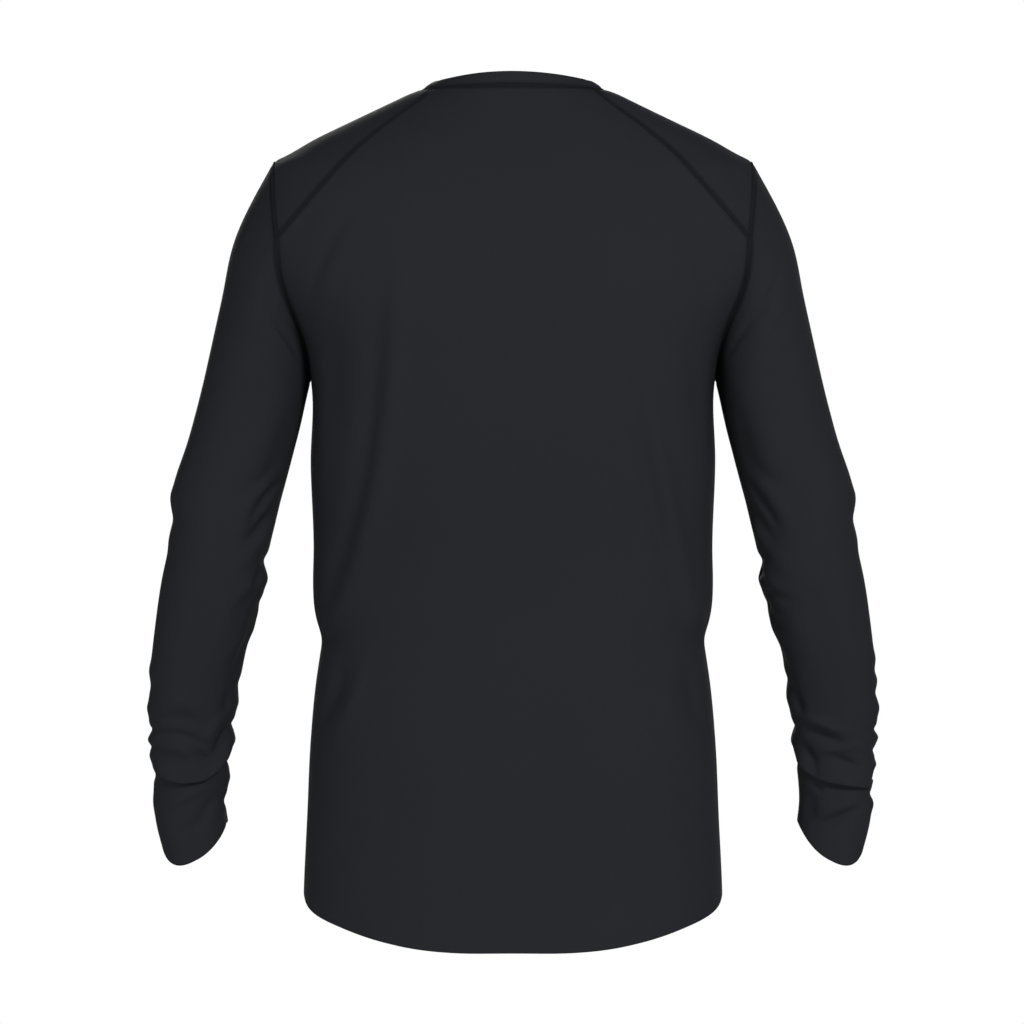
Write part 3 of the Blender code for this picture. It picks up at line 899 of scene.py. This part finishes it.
# %% Measures of the sleeve
# (outer distance, outer height, inner distance, inner height, set-back of the centre, half depth)
SLEEVE = [
    (204, -63, 172, -248, 4, 68),
    (237.5, -130, 176, -266, 4, 62),
    (247, -177, 181, -289, 4, 58),
    (256, -218, 187, -312, 4, 54),
    (277, -302, 198, -354, 5, 48),
    (289, -338, 204, -378, 5, 46),
    (291.5, -384, 210, -407, 2, 45),
    (298, -415, 212, -430, -1, 44),
    (306, -470, 226, -474, -9, 41),
    (309.5, -515, 234, -517, -17, 38),
    (309, -556, 239, -558, -26, 35),
    (305.5, -592, 243, -592, -34, 32),
    (304.5, -622, 243.5, -608, -37, 31),
    (297.5, -648, 241.5, -624, -39, 30),
]
SLEEVE_SQUARENESS = 2.4
CUFF_TONGUE = 21.0
CUFF_LENGTH = 0.10
CUFF_EASE = 1.5
TONGUE_TURN = 0.12
ARMHOLE_BLEND = 0.22
ARMHOLE_EASE = 2
SLEEVE_GIRTH = 250.0
SLEEVE_COLUMNS = 112
SLEEVE_ROWS = 150
WRIST_ROWS = 150
WRIST_SHARE = 0.74
SLEEVE_SPREAD = 7.0


def armhole_at(turns):
    """The armhole's own line, by the turn round it: 0 at the underarm, a quarter at the back."""
    low = np.minimum(turns, FULL_TURN - turns)
    z = ARMHOLE_CENTRE - ARMHOLE_HALF * np.cos(np.minimum(low, TURN_AT_JUNCTION))
    behind = armhole_edge(z, 1)
    before = armhole_edge(z, -1)
    j = (math.pi - turns) / TURN_OVER_TOP
    over = over_shoulder(SHOULDER_TIP, {1: JUNCTION, -1: JUNCTION}, j)
    over[:, 0] *= 1 + drawn_in(j)
    line = np.where((turns <= math.pi)[:, None], behind, before)
    return np.where((low > TURN_AT_JUNCTION)[:, None], over, line)


def sleeve_form(shares, turns):
    """Points of the left sleeve at shares of its length and turns round it."""
    values = [curve(shares * sleeve_run)[:, None] for curve in sleeve_curves]
    outer_x, outer_z, inner_x, inner_z, set_back, half_depth = values
    bend = 2 / SLEEVE_SQUARENESS
    along = (1 - np.sign(np.cos(turns)) * np.abs(np.cos(turns)) ** bend) / 2
    aside = np.sign(np.sin(turns)) * np.abs(np.sin(turns)) ** bend
    cuff = np.maximum(0, 1 - (1 - shares) / CUFF_LENGTH)[:, None] ** CUFF_EASE
    tongue = CUFF_TONGUE * cuff * np.maximum(0, np.sin(turns - TONGUE_TURN)) ** CUFF_EASE
    rings = np.stack([
        inner_x + (outer_x - inner_x) * along,
        set_back + half_depth * aside,
        inner_z + (outer_z - inner_z) * along - tongue,
    ], axis=-1)
    hold = np.maximum(0, 1 - shares / ARMHOLE_BLEND)[:, None, None] ** ARMHOLE_EASE
    return rings + (armhole_at(turns) - rings[0]) * hold


SECTIONS = np.array(SLEEVE, dtype=float)
section_run = run_of((SECTIONS[:, 0:2] + SECTIONS[:, 2:4]) / 2)
sleeve_curves = [soft_curve(list(zip(section_run, values)), SLEEVE_SPREAD) for values in SECTIONS.T]
sleeve_run = section_run[-1]
upper = spaced(sleeve_run * WRIST_SHARE, SLEEVE_ROWS, near_last=False)
lower = sleeve_run * WRIST_SHARE + spaced(sleeve_run * (1 - WRIST_SHARE), WRIST_ROWS, near_first=False)
sleeve_shares = np.concatenate([upper, lower[1:]]) / sleeve_run
sleeve_turns = spaced(SLEEVE_GIRTH, SLEEVE_COLUMNS)[:-1] / SLEEVE_GIRTH * FULL_TURN
arm_form = sleeve_form(sleeve_shares, sleeve_turns)
print("sleeve:", arm_form.shape[0], "rings of", arm_form.shape[1], "points")

# %% Folds of the sleeves
# Each crease: points (turn in degrees, height), half width, height of the ridge. Turns: 0 inner, 90 back,
# 180 outer, 270 front
BOTH_CREASES = [
    ([(322, -228), (296, -204), (274, -178)], 6, -2.0),
    ([(330, -240), (300, -222), (276, -200)], 7, 1.6),
    ([(-34, -398), (0, -402), (34, -398)], 6, -2.6),
    ([(-36, -416), (0, -417), (30, -419), (58, -428)], 7, 2.6),
    ([(-30, -436), (0, -438), (26, -440), (52, -450)], 6, -1.8),
    ([(-26, -462), (0, -460), (30, -468), (60, -482)], 9, 1.6),
    ([(8, -350), (36, -366), (64, -392)], 9, -1.8),
    ([(340, -352), (316, -370), (294, -396)], 9, -1.8),
    ([(10, -372), (40, -386), (70, -410)], 8, 1.6),
    ([(150, -368), (180, -366), (214, -368)], 7, -1.6),
    ([(140, -350), (180, -347), (220, -350)], 8, 1.4),
    ([(150, -388), (180, -384), (214, -388)], 8, 1.0),
    ([(262, -300), (250, -360), (246, -430)], 16, 1.8),
    ([(96, -300), (104, -380), (98, -450)], 16, 1.2),
]
LEFT_CREASES = [
    ([(-30, -506), (0, -506), (30, -512)], 6, -1.4),
    ([(-40, -524), (0, -522), (36, -530)], 6, 1.4),
    ([(-44, -541), (0, -540), (24, -545), (42, -556)], 4.5, -2.6),
    ([(-50, -552), (0, -554), (26, -558)], 6, 2.6),
    ([(-46, -572), (0, -572), (22, -566)], 4, -1.4),
    ([(-40, -590), (0, -592), (40, -600)], 7, 1.0),
    ([(140, -500), (180, -494), (222, -500)], 7, 1.2),
    ([(136, -512), (180, -508), (220, -512)], 6, -1.0),
    ([(132, -530), (180, -527), (226, -530)], 6, 1.6),
    ([(128, -548), (156, -546), (180, -545), (214, -548)], 3.5, -2.4),
    ([(134, -556), (180, -554), (220, -558)], 3.5, 1.8),
    ([(146, -560), (180, -560), (214, -562)], 2.5, -0.9),
    ([(134, -570), (180, -568), (226, -570)], 5, 1.6),
    ([(142, -586), (180, -584), (222, -586)], 4.5, -2.0),
    ([(142, -606), (180, -607), (218, -606)], 9, 1.0),
    ([(-40, -570), (0, -571), (30, -571)], 4, -1.6),
    ([(-40, -586), (0, -585), (30, -586)], 5, 1.4),
    ([(-30, -607), (0, -606), (40, -606)], 4, -1.8),
]
RIGHT_CREASES = [
    ([(-30, -500), (0, -502), (34, -514)], 6, -1.8),
    ([(-40, -518), (0, -518), (40, -530)], 8, 1.6),
    ([(-44, -540), (0, -541), (24, -546)], 5, -2.6),
    ([(-50, -553), (0, -555), (24, -558)], 6, 2.4),
    ([(-46, -571), (0, -572), (20, -568)], 4, -2.0),
    ([(136, -482), (180, -484), (222, -482)], 6, 0.9),
    ([(136, -495), (180, -495), (222, -495)], 5, -0.8),
    ([(136, -504), (180, -503), (222, -504)], 5, 0.9),
    ([(136, -515), (180, -514), (222, -515)], 4.5, -1.2),
    ([(130, -530), (180, -527), (226, -530)], 6.5, 1.9),
    ([(138, -546), (180, -545), (220, -547)], 3.5, -2.2),
    ([(134, -553), (180, -552), (222, -554)], 4, 1.7),
    ([(142, -564), (180, -563), (218, -564)], 3.5, -2.0),
    ([(136, -577), (180, -575), (222, -577)], 4, 2.2),
    ([(140, -586), (180, -585), (220, -586)], 3, -1.6),
    ([(146, -590), (180, -589), (214, -590)], 2.5, 0.9),
    ([(142, -601), (180, -600), (218, -601)], 4, -1.8),
    ([(142, -610), (180, -609), (218, -610)], 6, 1.6),
]
# Creases on the back of the sleeves, by distance from the centre line instead of the turn
LEFT_BACK_CREASES = [
    ([(192.3, -190), (186, -204), (180.2, -216)], 2.6, -1.8),
    ([(209.4, -190.4), (198, -204.9), (187, -221), (182, -230)], 2.6, -1.9),
    ([(203, -204), (194, -217), (187, -230)], 4, 1.2),
    ([(188, -272), (196, -305), (203, -340)], 15, -3.0),
    ([(208, -276), (216, -306), (226, -330)], 15, 1.8),
    ([(203, -322), (211, -333), (225, -343)], 6, -2.6),
    ([(197, -336), (207, -346), (216, -357), (224, -371)], 4.6, -4.2),
    ([(205, -330), (214, -340), (224, -351), (232, -364)], 6, 2.2),
    ([(204, -362), (213, -374), (224, -386)], 6, -3.4),
    ([(212, -352), (222, -365), (232, -378)], 6, 1.6),
    ([(211, -408), (216, -415), (220, -424)], 5, -3.8),
    ([(216, -426), (226, -438), (236, -446)], 7, -2.4),
    ([(217, -440), (224, -462), (232, -486), (239, -508)], 10, -3.0),
    ([(238, -428), (246, -452), (254, -480)], 13, 1.8),
    ([(240, -538), (245, -549), (249, -559), (254, -567)], 5, -4.4),
    ([(248, -534), (255, -545), (261, -556)], 5, 2.2),
    ([(270, -563), (262, -572), (254, -577)], 5, -3.4),
    ([(303, -551), (285, -549), (270, -554), (260, -560)], 4, -2.2),
    ([(298, -562), (284, -561), (274, -566)], 5, 2.0),
    ([(300, -538), (282, -535), (264, -541)], 6, -1.8),
    ([(302, -526), (282, -522), (262, -530)], 8, 1.6),
    ([(262, -593), (279, -603), (295, -612)], 5, 2.4),
    ([(250, -600), (261, -614), (268, -630)], 6, -2.6),
    ([(237, -598), (240, -612), (245, -626)], 8, -2.4),
    ([(284, -596), (296, -600), (304, -606)], 4, -1.8),
    ([(264, -622), (275, -630), (288, -634)], 5, -1.8),
    ([(242, -514), (243, -523), (245, -532)], 5, -2.6),
]
RIGHT_BACK_CREASES = [
    ([(228, -153), (215, -183), (197, -204), (183, -226)], 3.6, -2.2),
    ([(234, -170), (221, -196), (204, -214)], 6, 1.4),
    ([(188, -270), (196, -303), (203, -338)], 15, -3.2),
    ([(208, -276), (217, -306), (226, -332)], 15, 1.8),
    ([(202, -320), (213, -330), (226, -338)], 7, -1.8),
    ([(200, -338), (208, -349), (216, -359), (224, -374)], 5, -3.2),
    ([(206, -330), (216, -342), (226, -356), (234, -370)], 7, 2.0),
    ([(206, -366), (213, -378), (222, -392)], 7, -2.6),
    ([(208, -406), (211, -414), (216, -421)], 5, -3.4),
    ([(212, -428), (224, -432), (238, -436)], 6, -2.2),
    ([(212, -436), (220, -450), (228, -462)], 6, -2.8),
    ([(222, -468), (230, -488), (237, -504)], 9, -2.8),
    ([(234, -446), (244, -462), (254, -484)], 12, 1.8),
    ([(246, -536), (256, -537), (265, -541), (273, -545), (282, -548)], 4.4, 3.2),
    ([(248, -546), (258, -549), (268, -553), (280, -558)], 4.6, -3.4),
    ([(258, -562), (275, -562), (294, -559)], 4, 2.0),
    ([(248, -560), (254, -571), (259, -580)], 4.4, -3.6),
    ([(272, -568), (282, -573), (293, -577)], 3.8, -2.8),
    ([(264, -575), (276, -581), (290, -585)], 4.5, 2.0),
    ([(254, -592), (259, -596), (264, -598)], 3.5, -2.2),
    ([(256, -617), (274, -612), (294, -605)], 6, 2.6),
    ([(258, -627), (270, -623), (281, -618), (296, -612)], 3.8, -3.4),
    ([(252, -598), (253, -612), (254, -624)], 8, -2.6),
    ([(239, -512), (242, -522), (245, -533)], 5.5, -3.6),
]
# Each roll hangs over the cloth below: line of its lower edge (turn in degrees, height), how far out, how far
# down, half width. It fades out at its ends, and the cloth is tucked in below it.
ROLL_FADE = 26.0
TUCK_PLACE = 1.9
TUCK = 0.9
LEFT_ROLLS = [
    ([(8, -560), (31, -569), (44, -577), (67, -586), (93, -590), (124, -587), (142, -583), (160, -580)],
     2.2, 7.0, 5.0),
    ([(196, -574), (230, -582), (262, -586), (296, -580), (330, -570)], 2.2, 6.5, 5.0),
]
RIGHT_ROLLS = [
    ([(6, -562), (20, -570), (46, -580), (70, -587), (96, -591), (120, -593), (150, -593), (176, -588)],
     2.2, 7.0, 5.0),
    ([(206, -580), (236, -588), (268, -584), (300, -576), (328, -566)], 2.2, 6.5, 5.0),
]


def on_sleeve(form, degrees, heights):
    """Points on the sleeve at turns and heights."""
    turns = np.radians(degrees) % FULL_TURN
    around = np.interp(turns, np.r_[sleeve_turns, FULL_TURN], np.arange(len(sleeve_turns) + 1))
    line = []
    for place, z in zip(around, heights):
        k = int(place) % len(sleeve_turns)
        n = (k + 1) % len(sleeve_turns)
        part = place - int(place)
        column = form[:, k] * (1 - part) + form[:, n] * part
        line.append(read_line(column, -column[:, 2], -z))
    return np.array(line)


def on_sleeve_back(form, distances, heights):
    """Points on the back of the sleeve at distances from the centre line and heights."""
    columns = form[:, sleeve_turns < math.pi].transpose(1, 0, 2)
    line = []
    for x, z in zip(distances, heights):
        level = np.array([read_line(column, -column[:, 2], -z) for column in columns])
        line.append(read_line(level, level[:, 0], x))
    return np.array(line)


def sleeve_fold(form, places, route, half, height):
    line, strength = softened(route)
    return places(form, line[:, 0], line[:, 1]), strength, half, height


def roll_over(form, grid, out, rolls):
    """Push rings of cloth outwards and down, so that each roll hangs over the cloth below it."""
    degrees = np.degrees(sleeve_turns)
    moved = grid.copy()
    for route, outwards, drop, half in rolls:
        line = np.array(route, dtype=float)
        level = soft_curve(route, ROUTE_SPREAD)(degrees)
        inside = np.minimum(degrees - line[0, 0], line[-1, 0] - degrees)
        strength = ease(inside / ROLL_FADE)
        above = (form[..., 2] - level - drop) / half
        bell = np.exp(-above ** 2) * strength
        tuck = np.exp(-(above + TUCK_PLACE) ** 2) * strength
        moved += out * (outwards * bell - TUCK * tuck)[..., None]
        moved[..., 2] -= drop * bell
    return moved


def sleeve_surface(creases, back_creases, rolls):
    """The left sleeve with one arm's own creases."""
    out = normals_of(arm_form, arm_form.mean(axis=1, keepdims=True), tube=True)
    folds = [sleeve_fold(arm_form, on_sleeve, *crease) for crease in BOTH_CREASES + creases]
    folds += [sleeve_fold(arm_form, on_sleeve_back, *crease) for crease in back_creases]
    rings = closed(arm_form)
    seams = [("armhole", rings[0]), ("side", arm_form[:, 0])]
    done, shade = finish_surface(arm_form, out, folds, seams, [rings[-1]])
    return roll_over(arm_form, done, out, rolls), out, shade


for hand, name, creases, back_creases, rolls in (
    (1, "sleeve_left", LEFT_CREASES, LEFT_BACK_CREASES, LEFT_ROLLS),
    (-1, "sleeve_right", RIGHT_CREASES, RIGHT_BACK_CREASES, RIGHT_ROLLS),
):
    done, out, shade = sleeve_surface(creases, back_creases, rolls)
    turned = (hand, 1, 1)
    cloth_map = cloth_map_of(arm_form, across_rows(closed(arm_form)))
    cover(name, arm_form * turned, done * turned, out * turned, shade, cloth_map)

# %% [markdown]
# ## Neckband
# The neckband is a strip of rib folded double, with both raw edges in the neck seam. Its outline is drawn as a
# row of points: up the outside, over the fold, and down the inside. The outline is then carried round the
# neck, leaning inwards more at the sides than in front or behind.

# %% Neckband
BAND_WIDTH = 12.4
BAND_BULGE = 0.6
BAND_LEAN = 14.0
BAND_LEAN_SIDE = 42.0
BAND_LEAN_BEHIND = 15.0
BAND_LEAN_EASE = 1.5
BAND_FOLD = 0.9
# The fold starts at this share of the band's height, and the inside stops at this share of the way down
BAND_STRAIGHT = 0.94
BAND_INSIDE = 0.97
BAND_TAPER = 0.4
NECK_PASSES = 6
BAND_SPACING = 1.9
BAND_UP = 12
BAND_OVER = 7
BAND_DOWN = 10


def neck_line():
    """The neck seam: across the back from right to left, over the left shoulder, and home by the front."""
    back = forms["back_panel"][-1]
    front = forms["front_panel"][-1]
    left = forms["shoulder_panel_left"][0]
    right = forms["shoulder_panel_right"][0]
    loop = np.concatenate([back[:-1], left[:-1], front[::-1][:-1], right[::-1][:-1], back[:1]])
    run = run_of(loop)
    even = np.arange(0, run[-1], BAND_SPACING)
    line = read_line(loop, run, even)
    for _ in range(NECK_PASSES):
        line = (np.roll(line, 1, axis=0) + 2 * line + np.roll(line, -1, axis=0)) / 4
    return line


def band_outline():
    """(height up the band, distance outwards) round half of the folded strip."""
    up = [(BAND_WIDTH * t, BAND_BULGE * 4 * t * (1 - t)) for t in np.linspace(0, BAND_STRAIGHT, BAND_UP)]
    top, edge = up[-1]
    over = []
    for turn in np.linspace(0, math.pi, BAND_OVER + 2)[1:-1]:
        over.append((top + BAND_FOLD * math.sin(turn), edge - BAND_FOLD * (1 - math.cos(turn))))
    inside = edge - 2 * BAND_FOLD
    down = [(top * (1 - t), inside - BAND_TAPER * t) for t in np.linspace(0, BAND_INSIDE, BAND_DOWN)]
    return up + over + down


loop = neck_line()
along = unit(np.roll(loop, -1, axis=0) - np.roll(loop, 1, axis=0))
inward = unit(loop * (-1.0, -1.0, 0.0))
lean = np.radians(BAND_LEAN + BAND_LEAN_SIDE * np.abs(inward[:, :1]) ** BAND_LEAN_EASE
                  + BAND_LEAN_BEHIND * np.clip(inward[:, 1:2], 0, 1))
up = np.cos(lean) * np.array([0, 0, 1.0]) + np.sin(lean) * inward
up = unit(up - along * np.sum(up * along, axis=1, keepdims=True))
outward = unit(np.cross(along, up))
outward *= np.sign(np.sum(outward * -inward, axis=1, keepdims=True))
outline = band_outline()
band_form = np.array([loop + up * height + outward * aside for height, aside in outline])
band_run = run_of(np.array(outline))
band_out = np.empty_like(band_form)
for row in range(len(outline)):
    before = np.array(outline[max(row - 1, 0)])
    after = np.array(outline[min(row + 1, len(outline) - 1)])
    rise, aside = after - before
    band_out[row] = unit(outward * rise - up * aside)
neck_seam = closed(band_form)[0]
done, shade = finish_surface(band_form, band_out, [], [("neck", neck_seam)], [])
round_neck = run_of(neck_seam)
cloth_map = np.stack(np.meshgrid(round_neck, band_run), axis=-1)
cover("neckband", band_form, done, band_out, shade, cloth_map, RIB_KNIT)
print("neckband:", round(round_neck[-1]), "mm round, strip", round(band_run[-1]), "mm wide before folding")

# %% [markdown]
# ## Flat seams
# A flat seam lays two edges side by side and covers them with thread: a row of short stitches along each side
# and a zigzag between. A stitch is a small rounded bead of a few faces, laid down again and again. Every
# stitch is put on the nearest cloth, so that it follows the folds.

# %% Stitches
STITCH_PITCH = 2.6
STITCH_LENGTH = 2.3
STITCH_RADIUS = 0.30
STITCH_RISE = 0.10
STITCH_GAP = (1 - STITCH_LENGTH / STITCH_PITCH) / 2
# How far apart the two rows of each seam's thread are
THREAD_WIDTHS = {"diagonal": 2.6, "side": 4.0, "underarm": 4.0, "armhole": 4.2, "neck": 2.4}

all_points = []
all_faces = []
for name, (done, out) in surfaces.items():
    base = len(all_points)
    rows, columns = done.shape[:2]
    all_points += [Vector(q) for q in done.reshape(-1, 3)]
    for r in range(rows - 1):
        for c in range(columns if name in TUBES else columns - 1):
            n = (c + 1) % columns
            all_faces.append((base + r * columns + c, base + r * columns + n,
                              base + (r + 1) * columns + n, base + (r + 1) * columns + c))
cloth_surface = BVHTree.FromPolygons(all_points, all_faces)


def seam_places(line, out):
    """Even places along a seam, with the directions along it and out of the cloth."""
    run = run_of(line)
    even = np.linspace(0, run[-1], max(2, int(run[-1] / STITCH_PITCH)))
    place = read_line(line, run, even)
    away = unit(read_line(out, run, even))
    return place, unit(np.gradient(place, axis=0)), away


def put_bead(bm, template, start, end, away):
    """Lay one bead of thread between two points."""
    step = end - start
    x = step.normalized()
    z = (away - x * away.dot(x)).normalized()
    y = z.cross(x)
    turn = Matrix((x, y, z)).transposed().to_4x4()
    scale = Matrix.Diagonal((step.length / 2, STITCH_RADIUS, STITCH_RADIUS, 1))
    place = Matrix.Translation((start + end) / 2 + z * STITCH_RISE)
    made = bmesh.ops.duplicate(bm, geom=template)["geom"]
    verts = [item for item in made if isinstance(item, bmesh.types.BMVert)]
    bmesh.ops.transform(bm, verts=verts, matrix=place @ turn @ scale)


def flat_seam(kind, place_name, lines):
    """Thread of one seam, or of a pair of them. Each line: points and outward directions."""
    name = "thread_" + kind + place_name
    width = THREAD_WIDTHS[kind]
    bm = bmesh.new()
    bmesh.ops.create_uvsphere(bm, u_segments=6, v_segments=4, radius=1.0,
                              matrix=Matrix.Rotation(QUARTER_TURN, 4, "Y"))
    template = bm.verts[:] + bm.edges[:] + bm.faces[:]
    for line, out in lines:
        place, along, away = seam_places(line, out)
        beside = unit(np.cross(away, along))
        edges = {}
        for edge in (1, -1):
            edges[edge] = [cloth_surface.find_nearest(Vector(q))[0] for q in place + beside * edge * width / 2]
        for i in range(len(place) - 1):
            up_way = Vector(away[i])
            for edge in (1, -1):
                start, end = edges[edge][i], edges[edge][i + 1]
                put_bead(bm, template, start.lerp(end, STITCH_GAP), end.lerp(start, STITCH_GAP), up_way)
            first, second = (1, -1) if i % 2 else (-1, 1)
            put_bead(bm, template, edges[first][i], edges[second][i + 1], up_way)
    bmesh.ops.delete(bm, geom=template, context="VERTS")
    bmesh.ops.scale(bm, vec=(MM, MM, MM), verts=bm.verts)
    mesh = bpy.data.meshes.new(name)
    bm.to_mesh(mesh)
    bm.free()
    mesh.shade_smooth()
    mesh.materials.append(THREAD)
    piece = add_object(name, mesh)
    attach(piece, "root")
    print(name, "has", len(mesh.polygons), "faces")
    return piece


def part_of(name, rows, columns):
    """Part of a piece's surface as a line: points and outward directions."""
    done, out = surfaces[name]
    return done[rows, columns], out[rows, columns]


def first_ring(name):
    """The first ring of a tube, closed, as a line: points and outward directions."""
    return [closed(grid)[0] for grid in surfaces[name]]


seam_threads = {name: [] for name in pieces}
for side, owner in ((1, "back_panel"), (-1, "front_panel")):
    start = int(np.argmin(np.abs(panel_levels(side) - JUNCTION)))
    lines = [part_of(owner, slice(start, None), column) for column in (0, -1)]
    seam_threads[owner].append(flat_seam("diagonal", "_" + owner[:-6], lines))
below = int(np.argmin(np.abs(panel_levels(1) - UNDERARM)))
side_lines = [part_of("back_panel", slice(0, below), column) for column in (0, -1)]
seam_threads["back_panel"].append(flat_seam("side", "_seams", side_lines))
for hand in ("left", "right"):
    sleeve = "sleeve_" + hand
    seam_threads[sleeve].append(flat_seam("armhole", "_" + hand, [first_ring(sleeve)]))
    seam_threads[sleeve].append(flat_seam("underarm", "_" + hand, [part_of(sleeve, slice(None), 0)]))
seam_threads["neckband"].append(flat_seam("neck", "", [first_ring("neckband")]))

# %% [markdown]
# ## Sizes of the cut cloth
# Each sheet's cut size is printed. The folds only gather it, so the area of the smooth form is
# the area of the cut.

for name, piece in pieces.items():
    width, length = cut_size(forms[name], name in TUBES)
    area = flat_area(forms[name], name in TUBES)
    print(f"{piece.name}: cut {width * 1000:.0f} x {length * 1000:.0f} mm, {area:.4f} square metres")
